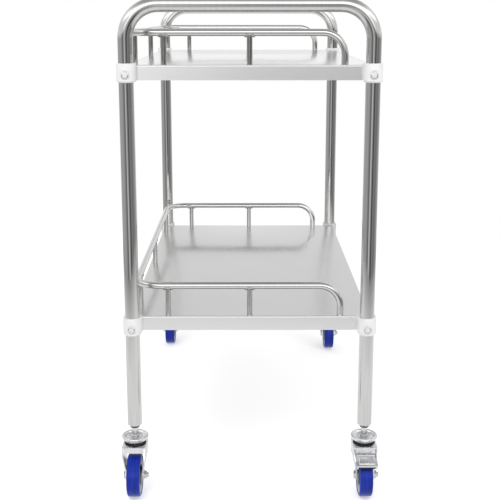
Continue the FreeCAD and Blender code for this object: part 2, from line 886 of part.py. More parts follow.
def make_stem(name, spec):
    """The steel stem: rivet head under the fork, pivot, hexagon in the cap's dish, spigot in the bush."""
    body = castor_body(f"{name}_stem", spec)
    rivet_r = S.stem_rivet_dia / 2
    rivet_top = S.fork_top - S.fork_sheet - S.side_gap
    rivet_bottom = rivet_top - S.stem_rivet_height
    top = leg_tip_z + S.stem_reach
    edge = S.stem_edge
    revolve(
        body,
        [
            (0, rivet_bottom),
            (rivet_r - edge, rivet_bottom),
            (rivet_r, rivet_bottom + edge),
            (rivet_r, rivet_top),
            (stem_r, rivet_top),
            (stem_r, top - edge),
            (stem_r - edge, top),
            (0, top),
        ],
    )
    flats = sketch_on(body, "XY", dish_z)
    across = S.stem_nut_flats / 2
    corner = across * HEX_CORNER
    outline(
        flats,
        [
            (corner, 0),
            (corner / 2, across),
            (-corner / 2, across),
            (-corner, 0),
            (-corner / 2, -across),
            (corner / 2, -across),
        ],
    )
    pad(body, flats, S.stem_nut_height)


def make_cap(name, spec):
    """The plated cover of the swivel: a sloping skirt, a rolled rim and a sunken dish round the stem."""
    body = castor_body(f"{name}_swivel_cap", spec)
    rim_r = S.cap_dia / 2
    skirt_r = S.cap_skirt_dia / 2
    dish_r = S.cap_dish_dia / 2
    bore_r = stem_r + S.clamp_clearance
    sheet_t = S.cap_sheet
    rounding = S.cap_rim_rounding
    rim_bottom = cap_bottom + S.cap_rim_rise
    rim_top = rim_bottom + S.cap_rim_height
    crest_r = rim_r - rounding - S.cap_rim_crest
    revolve(
        body,
        [
            (skirt_r - sheet_t, cap_bottom),
            (skirt_r, cap_bottom),
            (rim_r - rounding, rim_bottom),
            (rim_r, rim_bottom + rounding),
            (rim_r, rim_top - rounding),
            (rim_r - rounding, rim_top),
            (crest_r, rim_top),
            (dish_r, dish_z),
            (bore_r, dish_z),
            (bore_r, dish_z - sheet_t),
            (dish_r, dish_z - sheet_t),
        ],
    )


def make_balls(name, spec):
    """The ring of balls that carries the load between the fork and the cap."""
    balls = []
    ball_r = S.ball_dia / 2
    for index in range(BALL_COUNT):
        angle = 2 * math.pi * index / BALL_COUNT
        ball = doc.addObject("Part::Sphere", f"{name}_ball")
        bind(ball, "Radius", ball_r)
        across = round(math.cos(angle), 9)
        along = round(math.sin(angle), 9)
        x = S.ball_circle_dia / 2 * across
        y = S.ball_circle_dia / 2 * along
        place(ball, x, y, race_top + S.side_gap + ball_r)
        balls.append(ball)
    ring = group(f"{name}_swivel_balls", balls)
    place(ring, leg_x * spec["side"], frame_y * spec["end"], 0.0)


def make_fork(name, spec):
    """A pressed steel fork: a crown plate, two legs that draw in to the axle, and a front apron."""
    body = castor_body(f"{name}_fork", spec)
    toe = S.fork_toe_radius
    trail = S.castor_trail
    side_view = sketch_on(body, "YZ")
    front_y = -trail - toe
    heel_y = -trail + toe
    rear_y = S.fork_rear_reach
    shoulder_z = S.fork_top - S.fork_shoulder_drop
    waist_z = S.fork_top - S.fork_waist_drop
    crown_half = S.fork_crown_width / 2
    chain = [
        (heel_y, axle_z),
        (S.fork_knee_reach, S.fork_top - S.fork_knee_drop),
        (rear_y, S.fork_top - S.fork_rear_drop),
        (rear_y, S.fork_top),
        (front_y, S.fork_top),
        (front_y, axle_z),
    ]
    lines = []
    for start, end in zip(chain, chain[1:]):
        line = side_view.addGeometry(Part.LineSegment(vector(start), vector(end)))
        pin(side_view, line, START, *start)
        if lines:
            side_view.addConstraint(Sketcher.Constraint("Coincident", lines[-1], END, line, START))
        lines.append(line)
    pin(side_view, lines[-1], END, *chain[-1])
    toe_arc = side_view.addGeometry(
        Part.Arc(vector(chain[-1]), vector((-trail, axle_z - toe)), vector(chain[0]))
    )
    side_view.addConstraint(Sketcher.Constraint("Coincident", toe_arc, START, lines[-1], END))
    side_view.addConstraint(Sketcher.Constraint("Coincident", toe_arc, END, lines[0], START))
    level = Sketcher.Constraint("DistanceY", ORIGIN, 1, toe_arc, CENTRE, axle_z.value)
    bind(side_view, f"Constraints[{side_view.addConstraint(level)}]", axle_z)
    block = pad(body, side_view, S.fork_crown_width, both_ways=True)

    def rear_upright(edge, box):
        return box.ZLength > ON_FACE and box.YMin > rear_y.value - ON_FACE and box.XLength < ON_FACE

    fillet(body, block, S.fork_rear_corner, rear_upright)
    corners = sketch_on(body, "XY", S.fork_top)
    corner = S.fork_front_corner
    beyond = crown_half + toe
    for hand in (-1, 1):
        outline(
            corners,
            [
                ((crown_half - corner) * hand, front_y - toe),
                (beyond * hand, front_y - toe),
                (beyond * hand, front_y + corner),
                (crown_half * hand, front_y + corner),
                ((crown_half - corner) * hand, front_y),
            ],
        )
    pocket(body, corners, S.fork_waist_drop)
    front_view = sketch_on(body, "XZ")
    sheet_t = S.fork_sheet
    edge = S.fork_crown_edge
    outer_bottom = -toe
    inner_bottom = outer_bottom / 2
    rectangle(front_view, -beyond, beyond, outer_bottom - toe, S.fork_top + toe)
    outline(
        front_view,
        [
            (-fork_leg_x, outer_bottom),
            (fork_leg_x, outer_bottom),
            (fork_leg_x, waist_z),
            (crown_half, shoulder_z),
            (crown_half, S.fork_top - edge),
            (crown_half - edge, S.fork_top),
            (-crown_half + edge, S.fork_top),
            (-crown_half, S.fork_top - edge),
            (-crown_half, shoulder_z),
            (-fork_leg_x, waist_z),
        ],
    )
    outline(
        front_view,
        [
            (-fork_leg_x + sheet_t, inner_bottom),
            (fork_leg_x - sheet_t, inner_bottom),
            (fork_leg_x - sheet_t, waist_z),
            (crown_half - sheet_t, shoulder_z),
            (crown_half - sheet_t, S.fork_top - sheet_t),
            (-crown_half + sheet_t, S.fork_top - sheet_t),
            (-crown_half + sheet_t, shoulder_z),
            (-fork_leg_x + sheet_t, waist_z),
        ],
    )
    pocket(body, front_view)
    seat = sketch_on(body, "XY", S.fork_top)
    circle(seat, 0, 0, S.race_dia / 2)
    pad(body, seat, S.race_height)
    pivot = sketch_on(body, "XY")
    circle(pivot, 0, 0, stem_r + S.running_clearance)
    pocket(body, pivot)
    apron = sketch_on(body, "XZ", -front_y)
    apron_half = crown_half - S.fork_front_corner
    rectangle(apron, -apron_half, apron_half, apron_bottom_z, S.fork_top - sheet_t / 2)
    pad(body, apron, sheet_t, reverse=True)
    pin_holes = sketch_on(body, "YZ")
    circle(pin_holes, -trail, axle_z, axle_r + S.running_clearance)
    if spec["brake"]:
        circle(pin_holes, -S.pedal_pivot_ahead, pedal_pivot_z, pedal_pin_r + S.running_clearance)
    pocket(body, pin_holes)


def make_axle(name, spec):
    """The axle bolt, with its head on one fork leg, and its nut and bare end on the other."""
    x, y, z = axle_place(spec)
    facing = -spec["wheel"]
    along = (0, facing, 0)
    head_x = x - (fork_leg_x + S.axle_head_height) * facing
    nut_x = x + fork_leg_x * facing
    flats = S.axle_head_flats
    shank_length = fork_leg_x * 2 + S.axle_head_height + S.axle_nut_height + S.axle_end_reach
    shank = cylinder(f"{name}_axle_shank", axle_r, shank_length, head_x, y, z, 90, along)
    head = hexagon(f"{name}_axle_head", flats, S.axle_head_height, head_x, y, z, 90, along)
    bolt = fuse(f"{name}_axle_bolt", [head, shank])
    blank = hexagon(f"{name}_axle_nut", flats, S.axle_nut_height, nut_x, y, z, 90, along)
    group(f"{name}_axle", [bolt, cut(f"{name}_axle_nut_bored", blank, shank)])


def make_wheel(name, spec):
    """Grey moulded hub, blue tyre round it, and the sleeve bearing that turns on the axle."""
    x, y, z = axle_place(spec)
    hub = new_body(f"{name}_wheel_hub", x, y, z)
    rim_r = S.wheel_dia / 2 - S.tyre_depth
    rim_inner_r = rim_r - S.hub_rim_depth
    boss_r = S.hub_boss_dia / 2
    web = S.hub_web / 2
    rim = S.hub_width / 2
    boss = S.hub_boss_width / 2
    bearing_r = S.bearing_dia / 2
    half = [
        (boss, bearing_r),
        (boss, boss_r),
        (web, boss_r + S.hub_draft),
        (web, rim_inner_r - S.hub_draft),
        (rim, rim_inner_r),
        (rim, rim_r),
    ]
    revolve_across(hub, half + [(-across, radius) for across, radius in reversed(half)])
    tyre = new_body(f"{name}_tyre", x, y, z)
    tread = S.tyre_width / 2
    outer_r = S.wheel_dia / 2
    ring = revolve_across(
        tyre, [(-tread, rim_r), (-tread, outer_r), (tread, outer_r), (tread, rim_r)]
    )
    fillet(tyre, ring, S.tyre_edge_radius, lambda edge, box: box.ZMax > outer_r.value - ON_FACE)
    bearing = new_body(f"{name}_wheel_bearing", x, y, z)
    reach = S.fork_leg_gap / 2 - S.side_gap
    revolve_across(
        bearing,
        [
            (-reach, bearing_bore_r),
            (-reach, bearing_r),
            (reach, bearing_r),
            (reach, bearing_bore_r),
        ],
    )


def shoe_points(knee_y, knee_z):
    """The shoe's side view: it grows out of the toe's slope and keeps its gap from the tyre."""
    slope = S.pedal_toe_drop / S.pedal_toe_reach
    reach = S.wheel_dia / 2 + S.pedal_shoe_gap
    tops = []
    undersides = []
    for ahead in (S.pedal_shoe_root, S.pedal_shoe_root + S.pedal_shoe_reach):
        y = knee_y - ahead
        tops.append((y, knee_z - slope * ahead))
        undersides.append((y, axle_z + other_leg(reach, y + S.castor_trail)))
    return tops + undersides[::-1]


def make_brake(name, spec):
    """The toe brake: a pressed pedal with turned-down edges and a shoe, and the pin it tips on."""
    body = castor_body(f"{name}_brake_pedal", spec)
    top = pedal_top_z
    heel_y = S.pedal_heel_reach - S.pedal_pivot_ahead
    knee_y = -S.castor_trail - S.fork_toe_radius - S.pedal_toe_start
    toe_y = knee_y - S.pedal_toe_reach
    toe_z = top - S.pedal_toe_drop
    flange = S.pedal_flange
    skin = S.pedal_sheet

    def band(upper, lower):
        return [
            (heel_y, top - upper),
            (knee_y, top - upper),
            (toe_y, toe_z - upper),
            (toe_y, toe_z - lower),
            (knee_y, top - lower),
            (heel_y, top - lower),
        ]

    side_view = sketch_on(body, "YZ")
    outline(side_view, band(as_size(0), flange))
    pad(body, side_view, S.pedal_width, both_ways=True)
    under = sketch_on(body, "YZ")
    outline(under, band(skin, flange * 2))
    pocket(body, under, S.pedal_width - skin * 2, both_ways=True)
    toe = sketch_on(body, "YZ")
    outline(
        toe, [(knee_y, top), (toe_y, toe_z), (toe_y, toe_z - skin), (knee_y, top - skin)]
    )
    pad(body, toe, S.pedal_toe_width, both_ways=True)
    ears = sketch_on(body, "YZ")
    ear_y = -S.pedal_pivot_ahead
    ear_half = S.pedal_ear_width / 2
    ear_bottom = pedal_pivot_z - pedal_pin_r - S.pedal_ear_drop
    rectangle(ears, ear_y - ear_half, ear_y + ear_half, ear_bottom, top)
    pad(body, ears, S.pedal_width, both_ways=True)
    between = sketch_on(body, "YZ")
    rectangle(between, ear_y - ear_half - skin, ear_y + ear_half + skin, ear_bottom - skin, top - skin)
    pocket(body, between, S.pedal_width - skin * 2, both_ways=True)
    shoe = sketch_on(body, "YZ")
    outline(shoe, shoe_points(knee_y, top - skin / 2))
    pad(body, shoe, S.pedal_shoe_width, both_ways=True)
    hole = sketch_on(body, "YZ")
    circle(hole, ear_y, pedal_pivot_z, pedal_pin_r + S.running_clearance)
    pocket(body, hole)
    pin_half = S.fork_crown_width / 2 - S.pedal_pin_inset
    x = leg_x * spec["side"] - pin_half
    y = frame_y * spec["end"] + S.pedal_pivot_ahead * spec["wheel"]
    rod = cylinder(f"{name}_pin", pedal_pin_r, pin_half * 2, x, y, pedal_pivot_z, 90, (0, 1, 0))
    node(rod, f"{name}_brake_pin")


for end_name, end in (("front", -1), ("rear", 1)):
    make_frame(f"{end_name}_frame", end)
for tier, height in (("upper", S.upper_tray_height), ("lower", S.lower_tray_height)):
    make_tray(f"{tier}_tray", height)
    make_stiffener(f"{tier}_tray_stiffener", height)
    make_guard_rail(f"{tier}_guard_rail", height)
    make_posts(f"{tier}_rail_posts", height)
make_rail_nuts()
for tier, height in (("upper", S.upper_tray_height), ("lower", S.lower_tray_height)):
    for end_name, end in (("front", -1), ("rear", 1)):
        for side_name, side in (("left", -1), ("right", 1)):
            make_clamp(f"{end_name}_{side_name}_{tier}_clamp", side, end, height)
make_clamp_bolts()
for name, spec in CASTORS.items():
    make_bush(name, spec)
    make_stem(name, spec)
    make_cap(name, spec)
    make_balls(name, spec)
    make_fork(name, spec)
    make_axle(name, spec)
    make_wheel(name, spec)
    if spec["brake"]:
        make_brake(name, spec)

# ---- check and write -------------------------------------------------------------------------------

doc.recompute()
faults = []
for thing in doc.Objects:
    if "Invalid" in thing.State or "Error" in thing.State:
        faults.append(f"{thing.Label}: {thing.State}")
for piece in nodes:
    if piece.Shape.isNull() or not piece.Shape.isValid() or not piece.Shape.Solids:
        faults.append(f"{piece.Label}: its shape is empty or not valid")
if faults:
    raise RuntimeError("; ".join(faults))

os.makedirs("parts", exist_ok=True)
for piece in nodes:
    piece.Shape.exportStep(f"parts/{piece.Label}.step")
    print(f"{piece.Label}: {len(piece.Shape.Solids)} solids, {piece.Shape.Volume / 1000:.2f} cm3")
print(f"{len(nodes)} nodes")
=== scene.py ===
import json
import math

import bmesh
import bpy
from mathutils import Matrix, Vector


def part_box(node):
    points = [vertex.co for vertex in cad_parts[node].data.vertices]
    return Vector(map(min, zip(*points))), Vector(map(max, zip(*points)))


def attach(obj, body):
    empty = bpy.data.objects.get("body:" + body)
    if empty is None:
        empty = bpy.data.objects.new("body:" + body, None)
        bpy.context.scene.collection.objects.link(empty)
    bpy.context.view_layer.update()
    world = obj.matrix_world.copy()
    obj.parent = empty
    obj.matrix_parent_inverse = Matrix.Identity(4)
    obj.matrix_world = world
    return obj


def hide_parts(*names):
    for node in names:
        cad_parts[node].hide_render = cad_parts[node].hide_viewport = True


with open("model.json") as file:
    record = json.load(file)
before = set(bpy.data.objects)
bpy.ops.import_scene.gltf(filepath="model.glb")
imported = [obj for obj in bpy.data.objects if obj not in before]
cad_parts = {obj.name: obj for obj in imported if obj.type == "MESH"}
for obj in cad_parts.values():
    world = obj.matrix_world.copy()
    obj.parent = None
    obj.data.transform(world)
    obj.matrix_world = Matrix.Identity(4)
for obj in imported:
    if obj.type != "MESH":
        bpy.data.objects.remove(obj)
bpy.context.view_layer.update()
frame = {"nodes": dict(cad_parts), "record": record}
nodes = frame["nodes"]
slot_of = {row["node"]: row["material_slot"] for row in frame["record"]["subparts"]}
body_of = {
    name: body for body, names in frame["record"]["behaviour"]["bodies"].items() for name in names
}

MM = 0.001
MERGE_WITHIN = 0.002 * MM
FLAT_WITHIN_DEGREES = 0.6
HARD_FROM_DEGREES = 28
UP = Vector((0, 0, 1))
ACROSS = Vector((1, 0, 0))
ALONG = Vector((0, 1, 0))

TIERS = ("upper", "lower")
# Each corner: the end that it stands at, and the way its castor's wheel trails, along Y.
CORNERS = {
    "front_left": (-1, -1),
    "front_right": (-1, -1),
    "rear_left": (1, 1),
    "rear_right": (1, -1),
}
BRAKED = ("front_right", "rear_left")

# Sizes of the cart in mm, which the new pieces fit.
FRAME_Y = 380.0
RAIL_R = 6.0
RAIL_RISE = 52.5
POST_R = 4.75
# Where the posts stand: by X on both ends, and by Y on the left side.
POSTS_ON_END = (-142.0, 0.0)
POSTS_ON_SIDE = (-277.0, 0.0, 277.0)
# The face of a clamp, out from its leg's middle, and its bolt, down from the top of the tray.
CLAMP_SEAT = 14.15
CLAMP_BOLT_DROP = 15.3
# The castors.
TYRE_R = 37.5
TYRE_INNER_R = 31.5
TYRE_HALF_WIDTH = 11.5
AXLE_R = 4.0
TRAIL = 18.0
FORK_HALF_WIDTH = 15.75
AXLE_END = 23.9
# The brake pedals: ahead of the castor's swivel, and up from the floor.
PEDAL_KNEE_AHEAD = 29.5
PEDAL_KNEE_RISE = 80.4
PEDAL_RUN = 28.0
PEDAL_FALL = 8.0
PEDAL_TIP_AHEAD = 53.0
PEDAL_TIP_RISE = 68.7

# ---- colours and nodes -----------------------------------------------------------------------------

# Noise lies mostly between these.
NOISE_LOW = 0.3
NOISE_HIGH = 0.7


def linear(hex_colour):
    """An sRGB hex colour as the linear numbers that a shader takes."""
    parts = []
    for start in (1, 3, 5):
        level = int(hex_colour[start:start + 2], 16) / 255
        parts.append(level / 12.92 if level <= 0.04045 else ((level + 0.055) / 1.055) ** 2.4)
    return (*parts, 1.0)


def grey(level):
    """A linear grey."""
    return (level, level, level, 1.0)


def add_node(tree, kind, settings=None, **links):
    """One shader node. Settings are its own properties. Links are values or sockets by input name, or
    by an underscore and the input's number."""
    made = tree.nodes.new(kind)
    for name, value in (settings or {}).items():
        setattr(made, name, value)
    for name, value in links.items():
        key = int(name[1:]) if name[0] == "_" and name[1:].isdigit() else name.replace("_", " ")
        socket = made.inputs[key]
        if isinstance(value, bpy.types.NodeSocket):
            tree.links.new(value, socket)
        else:
            socket.default_value = value
    return made


def new_material(name):
    """An empty node material and its tree."""
    material = bpy.data.materials.new(name)
    material.use_nodes = True
    material.node_tree.nodes.clear()
    return material, material.node_tree


def make_finish(
    name, colours, roughness, cloud_mm, grain_mm, grain_depth_mm, wave_mm=None, wave_depth_mm=0.0, **shader
):
    """A material with two patterns: clouds, which shift its colour and gloss from the first value to
    the second, and grain, a fine relief. Waves are a broad relief. Sizes along X, Y and Z are in mm."""
    material, tree = new_material(name)
    place = add_node(tree, "ShaderNodeTexCoord").outputs["Object"]
    patterns = []
    for size_mm, detail in ((cloud_mm, 4.0), (grain_mm, 2.0), (wave_mm, 1.0)):
        if size_mm is None:
            continue
        sizes = size_mm if isinstance(size_mm, tuple) else (size_mm,) * 3
        scaled = add_node(
            tree, "ShaderNodeMapping", Vector=place, Scale=tuple(1 / (size * MM) for size in sizes)
        )
        noise = add_node(
            tree, "ShaderNodeTexNoise", Vector=scaled.outputs["Vector"], Scale=1.0, Detail=detail
        )
        patterns.append(noise.outputs["Fac"])
    spread = add_node(
        tree, "ShaderNodeMapRange", Value=patterns[0], From_Min=NOISE_LOW, From_Max=NOISE_HIGH
    ).outputs["Result"]
    tint = add_node(
        tree, "ShaderNodeMix", {"data_type": "RGBA"}, Factor=spread, _6=linear(colours[0]),
        _7=linear(colours[1]),
    ).outputs[2]
    gloss = add_node(
        tree, "ShaderNodeMapRange", Value=spread, To_Min=roughness[0], To_Max=roughness[1]
    ).outputs["Result"]
    relief = add_node(tree, "ShaderNodeBump", Height=patterns[1], Distance=grain_depth_mm * MM)
    if wave_mm:
        broad = add_node(tree, "ShaderNodeBump", Height=patterns[2], Distance=wave_depth_mm * MM)
        tree.links.new(broad.outputs["Normal"], relief.inputs["Normal"])
    surface = add_node(
        tree, "ShaderNodeBsdfPrincipled", Base_Color=tint, Roughness=gloss,
        Normal=relief.outputs["Normal"], **shader
    )
    add_node(tree, "ShaderNodeOutputMaterial", Surface=surface.outputs["BSDF"])
    return material


# ---- finishes --------------------------------------------------------------------------------------

# The trays' satin, in mm: streaks of grain along the tray, faint clouds, and the waves of thin sheet.
# The real grain is about 0.05 mm across. It is drawn ten times as coarse, so that it shows.
SATIN_GRAIN = (0.5, 45.0, 0.5)
SATIN_CLOUD = (90.0, 90.0, 90.0)
SATIN_WAVE = (260.0, 260.0, 90.0)
SATIN_WAVE_DEPTH = 0.4
SATIN_ROUGHNESS = (0.14, 0.21)
TRAY_CROWN = 7.0


def make_satin_sheet():
    """Stainless sheet, satin ground along the tray: the grain draws reflections out sideways. The lips
    carry a
    painted highlight: their colour is mixed towards a brighter white by how far they face front or back.
    Each tray crowns a little over its stiffener."""
    material, tree = new_material("satin_stainless_sheet")
    place = add_node(tree, "ShaderNodeTexCoord").outputs["Object"]
    patterns = []
    for sizes, detail in ((SATIN_GRAIN, 3.0), (SATIN_CLOUD, 2.0), (SATIN_WAVE, 1.0)):
        scaled = add_node(
            tree, "ShaderNodeMapping", Vector=place, Scale=tuple(1 / (size * MM) for size in sizes)
        )
        noise = add_node(
            tree, "ShaderNodeTexNoise", Vector=scaled.outputs["Vector"], Scale=1.0, Detail=detail
        )
        patterns.append(noise.outputs["Fac"])
    grain, cloud, wave = patterns
    tint = add_node(
        tree, "ShaderNodeMix", {"data_type": "RGBA"}, Factor=cloud, _6=linear("#D2D2D3"),
        _7=linear("#DAD9D9"),
    ).outputs[2]
    facing = add_node(tree, "ShaderNodeNewGeometry").outputs["Normal"]
    _, lip, top = add_node(tree, "ShaderNodeSeparateXYZ", Vector=facing).outputs
    lip = add_node(tree, "ShaderNodeMath", {"operation": "ABSOLUTE"}, _0=lip).outputs[0]
    # Painted highlight: the lips facing front and back are mixed towards a brighter white, #F4F4F5, by how
    # far they face that way, so they read brighter than the top.
    tint = add_node(
        tree, "ShaderNodeMix", {"data_type": "RGBA"}, Factor=lip, _6=tint, _7=linear("#F4F4F5"),
    ).outputs[2]
    gloss = add_node(
        tree, "ShaderNodeMapRange", Value=grain, From_Min=NOISE_LOW, From_Max=NOISE_HIGH,
        To_Min=SATIN_ROUGHNESS[0], To_Max=SATIN_ROUGHNESS[1],
    ).outputs["Result"]

    # The crown is highest in the middle of the tray and falls to nothing at its edges.
    x, y, _ = add_node(tree, "ShaderNodeSeparateXYZ", Vector=place).outputs
    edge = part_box("upper_tray")[1]
    falls = []
    for out, half in ((x, edge.x), (y, edge.y)):
        share = add_node(tree, "ShaderNodeMath", {"operation": "DIVIDE"}, _0=out, _1=half).outputs[0]
        square = add_node(tree, "ShaderNodeMath", {"operation": "MULTIPLY"}, _0=share, _1=share).outputs[0]
        fall = add_node(tree, "ShaderNodeMath", {"operation": "SUBTRACT"}, _0=1.0, _1=square)
        falls.append(fall.outputs[0])
    crown = add_node(
        tree, "ShaderNodeMath", {"operation": "MULTIPLY"}, _0=falls[0], _1=falls[1]
    ).outputs[0]
    crowned = add_node(tree, "ShaderNodeBump", Height=crown, Distance=TRAY_CROWN * MM)
    waved = add_node(
        tree, "ShaderNodeBump", Height=wave, Distance=SATIN_WAVE_DEPTH * MM,
        Normal=crowned.outputs["Normal"],
    ).outputs["Normal"]

    # Reflections spread across the grain: along X on the top, and up and down on the lips.
    down = add_node(tree, "ShaderNodeMath", {"operation": "MAXIMUM"}, _0=lip, _1=0.02).outputs[0]
    across_grain = add_node(tree, "ShaderNodeCombineXYZ", X=top, Y=0.0, Z=down).outputs["Vector"]
    surface = add_node(
        tree, "ShaderNodeBsdfPrincipled", Base_Color=tint, Metallic=1.0, Roughness=gloss,
        Anisotropic=0.85, Tangent=across_grain, Normal=waved,
    )
    add_node(tree, "ShaderNodeOutputMaterial", Surface=surface.outputs["BSDF"])
    return material


# Stainless tube, belt-polished to a mirror: clear reflections, a little wavy, with fine buffing rings.
tube_steel = make_finish(
    "polished_stainless_tube", ("#CDCDCC", "#D6D6D5"), (0.03, 0.09), cloud_mm=(4.0, 4.0, 90.0),
    grain_mm=(2.0, 2.0, 0.35), grain_depth_mm=0.004, wave_mm=38.0, wave_depth_mm=0.12, Metallic=1.0,
)
# Stainless rod, brushed clean: a shade duller and darker than the tube.
post_steel = make_finish(
    "brushed_stainless_rod", ("#B4B3B1", "#C2C1BF"), (0.06, 0.12), cloud_mm=9.0,
    grain_mm=(1.5, 1.5, 0.4), grain_depth_mm=0.006, Metallic=1.0,
)
# Fillet weld, ground and brushed: rippled and dull beside the polished tube.
weld_steel = make_finish(
    "brushed_weld", ("#A9A8A6", "#D2D1CF"), (0.16, 0.34), cloud_mm=3.0, grain_mm=1.6,
    grain_depth_mm=0.06, Metallic=1.0,
)
# Pressed steel, bright zinc plated: bluish white, glossy, with faint dull patches.
zinc = make_finish(
    "bright_zinc_plate", ("#DADBDE", "#EDEDEE"), (0.16, 0.30), cloud_mm=9.0, grain_mm=1.5,
    grain_depth_mm=0.002, wave_mm=12.0, wave_depth_mm=0.10, Metallic=1.0,
)
# Turned and plated fasteners: smooth, a shade duller than the tubes.
bolt_steel = make_finish(
    "plated_fastener_steel", ("#C4C4C6", "#DCDCDD"), (0.18, 0.32), cloud_mm=2.5, grain_mm=1.2,
    grain_depth_mm=0.002, Metallic=1.0,
)
# Moulded nylon, natural white: milky, with a soft sheen and a trace of moulding texture.
clamp_plastic = make_finish(
    "white_nylon", ("#F2F2F2", "#EBEBEB"), (0.34, 0.46), cloud_mm=12.0, grain_mm=0.8,
    grain_depth_mm=0.01, IOR=1.53,
)
# The same nylon as a pressed-in cover, a touch greyer.
cover_plastic = make_finish(
    "white_nylon_cover", ("#E6E6E6", "#DCDCDC"), (0.30, 0.42), cloud_mm=5.0, grain_mm=0.8,
    grain_depth_mm=0.01, IOR=1.53,
)
# Black nylon: dense black, dull.
bush_plastic = make_finish(
    "black_nylon", ("#191919", "#232324"), (0.42, 0.55), cloud_mm=8.0, grain_mm=0.8,
    grain_depth_mm=0.01, IOR=1.53,
)
# Moulded rubber: black, with a dry bloom.
black_rubber = make_finish(
    "black_rubber", ("#121212", "#1E1E1D"), (0.55, 0.75), cloud_mm=6.0, grain_mm=0.6,
    grain_depth_mm=0.03, IOR=1.52,
)
# Moulded polypropylene: pale grey, waxy.
hub_plastic = make_finish(
    "grey_polypropylene", ("#C6CAD2", "#D2D5DB"), (0.34, 0.46), cloud_mm=14.0, grain_mm=0.8,
    grain_depth_mm=0.01, IOR=1.49,
)
# Moulded acetal: black, smooth and slightly shiny.
bearing_plastic = make_finish(
    "black_acetal", ("#202124", "#2C2D30"), (0.32, 0.44), cloud_mm=6.0, grain_mm=0.7,
    grain_depth_mm=0.01, IOR=1.48,
)
# Cast polyurethane, turned to size: deep blue, glossy, with lathe lines and worn bands round the tread.
# The real lines are about 0.3 mm apart. They are drawn six times as wide, so that they show.
tyre_blue = make_finish(
    "blue_polyurethane", ("#071E8A", "#1434A8"), (0.22, 0.38), cloud_mm=(4.0, 60.0, 60.0),
    grain_mm=(1.8, 60.0, 60.0), grain_depth_mm=0.06, IOR=1.5, Specular_IOR_Level=0.25,
)
tray_steel = make_satin_sheet()

FINISH_OF_SLOT = {
    "tube_steel": tube_steel,
    "tray_steel": tray_steel,
    "rail_steel": tube_steel,
    "bolt_steel": bolt_steel,
    "zinc_steel": zinc,
    "clamp_plastic": clamp_plastic,
    "bush_plastic": bush_plastic,
    "hub_plastic": hub_plastic,
    "bearing_plastic": bearing_plastic,
    "tyre_blue": tyre_blue,
}
for name, thing in nodes.items():
    thing.data.materials.clear()
    thing.data.materials.append(FINISH_OF_SLOT[slot_of[name]])
for tier in TIERS:
    nodes[f"{tier}_rail_posts"].data.materials[0] = post_steel

# ---- how a piece is made ---------------------------------------------------------------------------


def add_piece(name, build, material, body, stands_for=None):
    """A finished piece from its bmesh: shaded smooth with its flats kept flat, and riding on a body."""
    bmesh.ops.recalc_face_normals(build, faces=build.faces)
    for face in build.faces:
        face.smooth = True
    mesh = bpy.data.meshes.new(name)
    build.to_mesh(mesh)
    build.free()
    mesh.materials.append(material)
    piece = bpy.data.objects.new(name, mesh)
    bpy.context.scene.collection.objects.link(piece)
    flats = piece.modifiers.new("flats", "WEIGHTED_NORMAL")
    flats.keep_sharp = True
    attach(piece, body)
    if stands_for:
        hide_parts(stands_for)


def hard_edges(build, degrees):
    """The edges whose two faces turn by more than an angle."""
    limit = math.radians(degrees)
    return [
        edge for edge in build.edges
        if len(edge.link_faces) == 2 and edge.calc_face_angle(0.0) > limit
    ]


def sharpen(build, degrees):
    """Marks the hard edges, so that they shade as edges."""
    for edge in hard_edges(build, degrees):
        edge.smooth = False


def round_edges(build, edges, width_mm, segments):
    """Rounds edges over a width."""
    bmesh.ops.bevel(
        build, geom=edges, offset=width_mm * MM, offset_type="OFFSET", segments=segments, profile=0.5,
        affect="EDGES", clamp_overlap=True, material=-1,
    )


def soften(node, width_mm, segments=2):
    """A copy of a CAD node with its hard edges rounded, as pressing, moulding and plating leave them."""
    build = bmesh.new()
    build.from_mesh(nodes[node].data)
    bmesh.ops.remove_doubles(build, verts=build.verts, dist=MERGE_WITHIN)
    bmesh.ops.dissolve_limit(
        build, angle_limit=math.radians(FLAT_WITHIN_DEGREES), verts=build.verts, edges=build.edges
    )
    round_edges(build, hard_edges(build, HARD_FROM_DEGREES), width_mm, segments)
    bmesh.ops.triangulate(build, faces=[face for face in build.faces if len(face.verts) > 4])
    add_piece(
        f"{node}_finished", build, nodes[node].data.materials[0], body_of[node], node
    )


def spin_section(build, points_mm, centre, axis, steps=64, closed=True):
    """Spins a half section round an axis. Each point is a radius and a distance along the axis. A
    section that isn't closed starts and ends on the axis."""
    outward = axis.orthogonal().normalized()
    rim = [
        build.verts.new(centre + outward * radius * MM + axis * along * MM)
        for radius, along in points_mm
    ]
    pairs = list(zip(rim, rim[1:]))
    if closed:
        pairs.append((rim[-1], rim[0]))
    edges = [build.edges.new(pair) for pair in pairs]
    bmesh.ops.spin(
        build, geom=rim + edges, cent=centre, axis=axis, angle=math.tau, steps=steps, use_merge=True,
    )
    bmesh.ops.remove_doubles(build, verts=build.verts, dist=MERGE_WITHIN)


def arc_points(centre_r, centre_z, radius, start, end, count):
    """Points along an arc of a section, by degrees from outward towards up."""
    points = []
    for step in range(count + 1):
        angle = math.radians(start + (end - start) * step / count)
        points.append((centre_r + radius * math.cos(angle), centre_z + radius * math.sin(angle)))
    return points


# ---- trays -----------------------------------------------------------------------------------------

# The weld's bead: its radius in mm, how far it is drawn out along the rail, and how far round it goes.
WELD_R = 1.9
WELD_STRETCH = 0.25
WELD_REACH = 0.9
COVER_R = 7.2
COVER_RISE = 2.7


